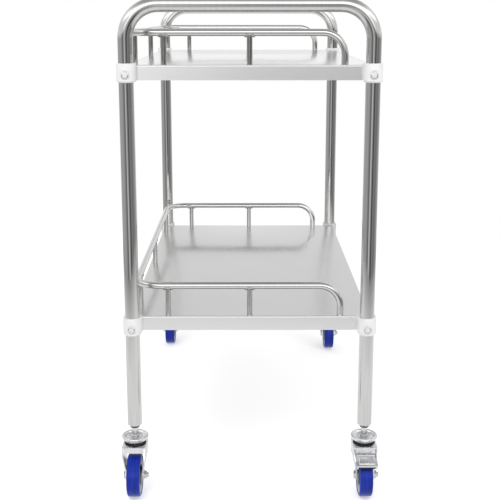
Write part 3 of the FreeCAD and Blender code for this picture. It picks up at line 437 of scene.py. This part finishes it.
def add_weld_beads(tier):
    """The fillet weld round the top of each post. It follows the round underside of the guard rail."""
    rail_low, rail_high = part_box(f"{tier}_guard_rail")
    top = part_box(f"{tier}_tray")[1].z + RAIL_RISE * MM
    end_y = rail_high.y - RAIL_R * MM
    side_x = rail_low.x + RAIL_R * MM
    spots = [(x * MM, y, ACROSS) for x in POSTS_ON_END for y in (-end_y, end_y)]
    spots += [(side_x, y * MM, ALONG) for y in POSTS_ON_SIDE]
    section = arc_points(POST_R + 0.7, -RAIL_R - 0.3, WELD_R, -100, 230, 10)
    build = bmesh.new()
    for x, y, rail_way in spots:
        bead = bmesh.new()
        spin_section(bead, section, Vector((0, 0, 0)), UP, steps=28)
        sideways = rail_way.cross(UP)
        for vert in bead.verts:
            reach = min(abs(vert.co.dot(sideways)), WELD_REACH * RAIL_R * MM)
            vert.co += rail_way * vert.co.dot(rail_way) * WELD_STRETCH
            vert.co.z += RAIL_R * MM - math.sqrt((RAIL_R * MM) ** 2 - reach ** 2)
        bmesh.ops.translate(bead, vec=Vector((x, y, top)), verts=bead.verts)
        joined = bpy.data.meshes.new("bead")
        bead.to_mesh(joined)
        bead.free()
        build.from_mesh(joined)
        bpy.data.meshes.remove(joined)
    add_piece(f"{tier}_post_welds", build, weld_steel, "cart_frame")


def add_screw_covers():
    """The domed nylon cover over each clamp bolt's head."""
    dome = [(0.0, COVER_RISE), (3.6, COVER_RISE - 0.15), (5.2, COVER_RISE - 0.5)]
    dome += [(6.3, COVER_RISE - 1.1), (COVER_R, COVER_RISE - 1.9), (COVER_R, 0.0), (0.0, 0.0)]
    build = bmesh.new()
    for tier in TIERS:
        bolt_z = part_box(f"{tier}_tray")[1].z - CLAMP_BOLT_DROP * MM
        for corner, (end, _) in CORNERS.items():
            clamp_low, clamp_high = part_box(f"{corner}_{tier}_clamp")
            leg_low, leg_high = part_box("front_frame" if end < 0 else "rear_frame")
            face_y = (leg_low.y + leg_high.y) / 2 + end * CLAMP_SEAT * MM
            seat = Vector(((clamp_low.x + clamp_high.x) / 2, face_y, bolt_z))
            spin_section(build, dome, seat, ALONG * end, steps=40, closed=False)
    add_piece("clamp_screw_covers", build, cover_plastic, "cart_frame")


# ---- castors ---------------------------------------------------------------------------------------

# The swivel cap's half section, as radii and heights above its foot in mm: a skirt that widens to the
# rolled rim, then a groove, a bead round the stem, and the thickness of the floor.
CAP_SKIRT = (
    (15.1, 0.0), (17.8, 0.0), (18.6, 0.5), (19.0, 1.5), (19.2, 2.4), (20.8, 2.9), (22.1, 3.9), (22.8, 5.2)
)
CAP_RIM_R = 23.5
CAP_ROLL_R = 2.75
CAP_ROLL_RISE = 8.25
CAP_GROOVE = ((17.6, 7.6), (16.2, 6.9), (13.5, 6.8), (11.2, 6.8))
CAP_STEM_BEAD = ((10.4, 7.5), (9.6, 7.5), (8.8, 6.8), (5.05, 6.8))
CAP_UNDERSIDE = ((5.05, 4.4), (13.0, 4.4))

# The half section of the black ring under the cap, above the cap's foot. Its black is painted shade for
# the shaded gap between the cap and the fork.
SHADE_RING = ((17.6, -2.8), (18.7, -2.8), (19.2, -2.2), (19.2, -1.3), (18.8, -0.9), (17.6, -0.7))

# Half of the tyre's section, from the middle of the tread out: a faint crown, a rounded shoulder.
SHOULDER_R = 3.0
SHOULDER_DROP = 0.2
TREAD_EDGE = (TYRE_R - 0.04, 4.5)
TYRE_WALL_R = 33.0

# The half section of the black dish on each side of the hub, by distance from the middle of the wheel. Its
# black is painted shade for the shaded recess between the hub and the fork leg.
SHADE_DISH = (
    (10.9, 12.0), (12.5, 12.2), (17.2, 11.2), (18.0, 10.5), (18.0, 9.6), (17.0, 10.3), (12.4, 11.2),
    (10.9, 11.1),
)

# A washer's half section, by distance from the fork's face.
WASHER = ((AXLE_R, 0.0), (8.6, 0.0), (8.6, 0.9), (8.2, 1.2), (AXLE_R, 1.2))
# The thread on the axle's bare end, by distance from the middle of the wheel.
THREAD_START = 20.9
THREAD_PITCH = 0.95
THREAD_TURNS = 3
THREAD_DEEP = AXLE_R - 0.1
THREAD_HIGH = AXLE_R + 0.12


def add_cap(name, foot):
    """The cap: pressed sheet with a rolled rim, a groove inside it and a bead round the stem."""
    cap = f"{name}_swivel_cap"
    roll = arc_points(CAP_RIM_R - CAP_ROLL_R, CAP_ROLL_RISE, CAP_ROLL_R, -40, 160, 12)
    section = [*CAP_SKIRT, *roll, *CAP_GROOVE, *CAP_STEM_BEAD, *CAP_UNDERSIDE]
    build = bmesh.new()
    spin_section(build, section, foot, UP, steps=72)
    sharpen(build, 60)
    add_piece(f"{name}_cap_rolled", build, zinc, body_of[cap], cap)


def add_painted_shade_ring(name, foot):
    """A black rubber ring round the fork's race, just under the foot of the cap, which paints the shade in
    the gap between the cap and the fork.
    """
    build = bmesh.new()
    spin_section(build, SHADE_RING, foot, UP, steps=72)
    sharpen(build, 50)
    add_piece(f"{name}_painted_shade_ring", build, black_rubber, f"{name}_fork")


def add_tyre(name, axle):
    """The tyre: a barely crowned tread, rounded shoulders and a flush inner edge."""
    shoulder = arc_points(
        TYRE_R - SHOULDER_R - SHOULDER_DROP, TYRE_HALF_WIDTH - SHOULDER_R, SHOULDER_R, 0, 90, 6
    )
    wall = [(TYRE_WALL_R, TYRE_HALF_WIDTH), (TYRE_INNER_R, TYRE_HALF_WIDTH)]
    half = [TREAD_EDGE, *shoulder, *wall]
    section = [*[(radius, -along) for radius, along in reversed(half)], (TYRE_R, 0.0), *half]
    build = bmesh.new()
    spin_section(build, section, axle, ACROSS, steps=96)
    sharpen(build, 60)
    add_piece(f"{name}_tyre_turned", build, tyre_blue, f"{name}_wheel", f"{name}_tyre")


def add_painted_shade_dishes(name, axle):
    """A thin black dish pressed on each end of the hub's boss, which paints the shade in the recess
    between the hub and the fork leg.
    """
    build = bmesh.new()
    for hand in (-1, 1):
        spin_section(build, SHADE_DISH, axle, ACROSS * hand, steps=56)
    sharpen(build, 50)
    add_piece(f"{name}_painted_shade_dishes", build, bearing_plastic, f"{name}_wheel")


def add_washers(name, axle, bare_end):
    """A washer under the axle's head and nut, and the thread on its bare end."""
    build = bmesh.new()
    for hand in (-1, 1):
        face = axle + ACROSS * hand * FORK_HALF_WIDTH * MM
        spin_section(build, WASHER, face, ACROSS * hand, steps=40)
    thread = [(0.0, THREAD_START), (THREAD_DEEP, THREAD_START)]
    for turn in range(THREAD_TURNS):
        start = THREAD_START + 0.1 + turn * THREAD_PITCH
        thread += [(THREAD_HIGH, start + 0.25), (THREAD_HIGH, start + 0.45), (THREAD_DEEP, start + 0.7)]
    thread += [(THREAD_DEEP, AXLE_END), (0.0, AXLE_END)]
    spin_section(build, thread, axle, ACROSS * bare_end, steps=32, closed=False)
    sharpen(build, 40)
    add_piece(f"{name}_axle_washers", build, bolt_steel, f"{name}_fork")


def add_castor(name, trails):
    """The finished pieces of one castor."""
    ball_low, ball_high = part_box(f"{name}_swivel_balls")
    swivel = Vector(((ball_low.x + ball_high.x) / 2, (ball_low.y + ball_high.y) / 2, 0.0))
    axle = swivel + ALONG * trails * TRAIL * MM + UP * TYRE_R * MM
    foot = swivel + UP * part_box(f"{name}_swivel_cap")[0].z
    add_cap(name, foot)
    add_painted_shade_ring(name, foot)
    add_tyre(name, axle)
    add_painted_shade_dishes(name, axle)
    soften(f"{name}_fork", 0.9)
    soften(f"{name}_wheel_hub", 0.8)
    soften(f"{name}_axle", 0.45, segments=1)
    soften(f"{name}_stem", 0.4, segments=1)
    add_washers(name, axle, -trails)


# ---- brakes ----------------------------------------------------------------------------------------

# The tread plate on each pedal and the black bar at its tip, which paints the shade in the gap between the
# tip and the tyre, as sizes along X, Y and Z in mm.
TREAD_PLATE = Vector((27.0, 19.0, 2.0))
SHADE_BAR = Vector((29.6, 6.0, 4.4))
TREAD_PLATE_RIM = 2.0
TREAD_PLATE_SINK = 0.8


def add_pedal_tread(name, swivel, ahead):
    """The plate on the middle of the pedal's sloping tongue, with its face sunk inside its rim."""
    slope = math.atan2(PEDAL_FALL, PEDAL_RUN)
    middle_ahead = PEDAL_KNEE_AHEAD + PEDAL_RUN / 2
    middle_rise = PEDAL_KNEE_RISE - PEDAL_FALL / 2
    build = bmesh.new()
    bmesh.ops.create_cube(build, size=1.0)
    bmesh.ops.scale(build, vec=TREAD_PLATE * MM, verts=build.verts)
    crown = [face for face in build.faces if face.normal.z > 0.9]
    bmesh.ops.inset_individual(build, faces=crown, thickness=TREAD_PLATE_RIM * MM)
    bmesh.ops.translate(build, vec=UP * -TREAD_PLATE_SINK * MM, verts=crown[0].verts)
    round_edges(build, list(build.edges), 0.35, 2)
    bmesh.ops.rotate(
        build, cent=Vector((0, 0, 0)), matrix=Matrix.Rotation(-slope * ahead, 3, "X"), verts=build.verts
    )
    middle = swivel + ALONG * ahead * middle_ahead * MM + UP * middle_rise * MM
    bmesh.ops.translate(build, vec=middle, verts=build.verts)
    add_piece(f"{name}_pedal_tread", build, zinc, f"{name}_pedal")


def add_pedal_shade_bar(name, swivel, ahead):
    """A black rubber bar along the pedal's tip, which paints the shade in the gap between the tip and the
    tyre.
    """
    build = bmesh.new()
    bmesh.ops.create_cube(build, size=1.0)
    bmesh.ops.scale(build, vec=SHADE_BAR * MM, verts=build.verts)
    round_edges(build, list(build.edges), 0.8, 3)
    tip = swivel + ALONG * ahead * PEDAL_TIP_AHEAD * MM + UP * PEDAL_TIP_RISE * MM
    bmesh.ops.translate(build, vec=tip, verts=build.verts)
    add_piece(f"{name}_pedal_shade_bar", build, black_rubber, f"{name}_pedal")


def add_brake(name, end, ahead):
    """The finished pieces of one brake."""
    soften(f"{name}_brake_pedal", 0.7)
    low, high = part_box(f"{name}_brake_pedal")
    swivel = Vector(((low.x + high.x) / 2, end * FRAME_Y * MM, 0.0))
    add_pedal_tread(name, swivel, ahead)
    add_pedal_shade_bar(name, swivel, ahead)


for tier in TIERS:
    add_weld_beads(tier)
add_screw_covers()
for corner, (end, trails) in CORNERS.items():
    add_castor(corner, trails)
    if corner in BRAKED:
        add_brake(corner, end, trails)

# ---- studio ----------------------------------------------------------------------------------------

scene = bpy.context.scene

# What polished metal sees round the horizon, as levels by degrees from the front to the right.
HORIZON = (
    (-180, 1.0), (-150, 0.85), (-130, 0.50), (-60, 0.46), (-38, 0.25), (-25, 0.13), (-18, 0.38),
    (-9, 0.80), (0, 0.44), (10, 0.30), (21, 0.02), (32, 0.18), (40, 0.30), (56, 0.22), (74, 0.24),
    (94, 0.38), (130, 0.52), (150, 0.85), (180, 1.0),
)
# What it sees above the horizon, as levels by height from 0 to straight up at 1: through the front
# window, beside the window, and at the back.
FRONT_HEIGHT = (
    (0.0, 1.90), (0.21, 1.30), (0.33, 2.4), (0.52, 2.0), (0.65, 0.80), (0.83, 0.50), (0.97, 0.42),
)
SIDE_HEIGHT = (
    (0.0, 0.76), (0.33, 0.88), (0.45, 1.8), (0.60, 1.6), (0.72, 0.80), (0.83, 0.50), (0.97, 0.42),
)
BACK_HEIGHT = (
    (0.0, 1.05), (0.10, 1.0), (0.20, 0.82), (0.27, 0.84), (0.55, 0.84), (0.85, 0.5), (1.0, 0.42),
)
# Where one gives way to the next, as parts of a direction of length 1.
HORIZON_TO_HEIGHT = (0.02, 0.09)
FRONT_TO_BACK = (-0.3, 0.5)
WINDOW_EDGE = (0.35, 0.60)
ROOM_LEVEL = 0.72

# What it sees of the floor, as levels from the middle of the cart to the floor's edge in metres.
FLOOR_RADIUS = 1.8
FLOOR_FADE = ((0.0, 0.95), (0.54, 0.95), (0.68, 0.82), (0.80, 0.64), (1.0, 0.36))
FLOOR_PAINT = 0.86
FLOOR_LIFT = 0.42

CAMERA_PLACE = (-0.0043, -1.933, 0.828)
CAMERA_TILT = -11.59
CAMERA_TURN = -0.18
CAMERA_LENS = 67.9
CAMERA_SHIFT = -0.08
CART_MIDDLE = (0.0, 0.0, 0.4)


def set_stops(ramp, stops):
    """A ramp of greys, each with its spot from 0 to 1 and its level."""
    elements = ramp.color_ramp.elements
    while len(elements) < len(stops):
        elements.new(0.5)
    for element, (spot, level) in zip(elements, stops):
        element.position = spot
        element.color = grey(level)


def make_world():
    """A white room to the camera. Metal sees its parts: a white back, grey sides with lights high up,
    and a dark front with gaps in it and a bright window over it."""
    world = bpy.data.worlds.new("studio")
    scene.world = world
    world.use_nodes = True
    tree = world.node_tree
    tree.nodes.clear()
    way = add_node(tree, "ShaderNodeTexCoord").outputs["Generated"]
    x, y, z = add_node(tree, "ShaderNodeSeparateXYZ", Vector=way).outputs
    ahead = add_node(tree, "ShaderNodeMath", {"operation": "MULTIPLY"}, _0=y, _1=-1.0).outputs[0]
    aside = add_node(tree, "ShaderNodeMath", {"operation": "ABSOLUTE"}, _0=x).outputs[0]
    turn = add_node(tree, "ShaderNodeMath", {"operation": "ARCTAN2"}, _0=x, _1=ahead).outputs[0]
    spans = []
    for value, (low, high) in (
        (turn, (-math.pi, math.pi)), (y, FRONT_TO_BACK), (z, HORIZON_TO_HEIGHT), (aside, WINDOW_EDGE)
    ):
        span = add_node(tree, "ShaderNodeMapRange", Value=value, From_Min=low, From_Max=high)
        spans.append(span.outputs["Result"])
    round_horizon, to_back, to_height, to_side = spans
    horizon_stops = [(0.5 + degrees / 360, level) for degrees, level in HORIZON]
    levels = []
    for value, stops in (
        (round_horizon, horizon_stops), (z, FRONT_HEIGHT), (z, SIDE_HEIGHT), (z, BACK_HEIGHT),
    ):
        ramp = add_node(tree, "ShaderNodeValToRGB", Fac=value)
        set_stops(ramp, stops)
        levels.append(ramp.outputs["Color"])
    horizon, front, sides, back = levels
    path = add_node(tree, "ShaderNodeLightPath").outputs
    window = add_node(
        tree, "ShaderNodeMix", {"data_type": "RGBA"}, Factor=to_side, _6=front, _7=sides
    ).outputs[2]
    above = add_node(
        tree, "ShaderNodeMix", {"data_type": "RGBA"}, Factor=to_back, _6=window, _7=back
    ).outputs[2]
    mirrored = add_node(
        tree, "ShaderNodeMix", {"data_type": "RGBA"}, Factor=to_height, _6=horizon, _7=above
    ).outputs[2]
    lit = add_node(
        tree, "ShaderNodeMix", {"data_type": "RGBA"}, Factor=path["Is Glossy Ray"],
        _6=grey(ROOM_LEVEL), _7=mirrored,
    ).outputs[2]
    seen = add_node(
        tree, "ShaderNodeMix", {"data_type": "RGBA"}, Factor=path["Is Camera Ray"], _6=lit,
        _7=grey(1.0),
    ).outputs[2]
    light = add_node(tree, "ShaderNodeBackground", Color=seen, Strength=1.0)
    add_node(tree, "ShaderNodeOutputWorld", Surface=light.outputs["Background"])


def make_floor():
    """The plain pale floor, which keeps the cart's shadow."""
    material, tree = new_material("studio_floor")
    path = add_node(tree, "ShaderNodeLightPath").outputs
    place = add_node(tree, "ShaderNodeTexCoord").outputs["Object"]
    out = add_node(tree, "ShaderNodeVectorMath", {"operation": "LENGTH"}, _0=place).outputs["Value"]
    share = add_node(
        tree, "ShaderNodeMapRange", Value=out, From_Max=FLOOR_RADIUS
    ).outputs["Result"]
    fade = add_node(tree, "ShaderNodeValToRGB", Fac=share)
    set_stops(fade, FLOOR_FADE)
    paint = add_node(tree, "ShaderNodeBsdfDiffuse", Color=grey(FLOOR_PAINT))
    glow = add_node(tree, "ShaderNodeEmission", Color=grey(1.0), Strength=FLOOR_LIFT)
    lifted = add_node(
        tree, "ShaderNodeAddShader", _0=paint.outputs["BSDF"], _1=glow.outputs["Emission"]
    )
    seen = add_node(
        tree, "ShaderNodeMixShader", _0=path["Is Camera Ray"], _1=paint.outputs["BSDF"],
        _2=lifted.outputs["Shader"],
    )
    mirrored = add_node(tree, "ShaderNodeEmission", Color=fade.outputs["Color"], Strength=1.0)
    shader = add_node(
        tree, "ShaderNodeMixShader", _0=path["Is Glossy Ray"], _1=seen.outputs["Shader"],
        _2=mirrored.outputs["Emission"],
    )
    add_node(tree, "ShaderNodeOutputMaterial", Surface=shader.outputs["Shader"])
    mesh = bpy.data.meshes.new("floor")
    build = bmesh.new()
    bmesh.ops.create_circle(build, cap_ends=True, segments=96, radius=FLOOR_RADIUS)
    build.to_mesh(mesh)
    build.free()
    floor = bpy.data.objects.new("floor", mesh)
    scene.collection.objects.link(floor)
    mesh.materials.append(material)


def add_softbox(name, place, size, watts):
    """A soft light aimed at the middle of the cart. Metal doesn't mirror it."""
    lamp = bpy.data.lights.new(name, "AREA")
    lamp.shape = "RECTANGLE"
    lamp.size, lamp.size_y = size
    lamp.energy = watts
    softbox = bpy.data.objects.new(name, lamp)
    softbox.location = place
    aim = Vector(CART_MIDDLE) - Vector(place)
    softbox.rotation_euler = aim.to_track_quat("-Z", "Y").to_euler()
    softbox.visible_glossy = False
    scene.collection.objects.link(softbox)


def make_camera():
    """A long lens in front of the cart, about as high as its handles and tilted down a little."""
    lens = bpy.data.cameras.new("camera")
    lens.lens = CAMERA_LENS
    lens.shift_y = CAMERA_SHIFT
    camera = bpy.data.objects.new("camera", lens)
    camera.location = CAMERA_PLACE
    camera.rotation_euler = (math.radians(90 + CAMERA_TILT), 0.0, math.radians(CAMERA_TURN))
    scene.collection.objects.link(camera)
    scene.camera = camera


make_world()
make_floor()
add_softbox("key_softbox", (-0.9, -1.7, 2.3), (1.4, 1.0), 22)
add_softbox("fill_softbox", (1.5, -1.2, 1.6), (1.0, 1.4), 10)
make_camera()
scene.view_settings.view_transform = "Standard"
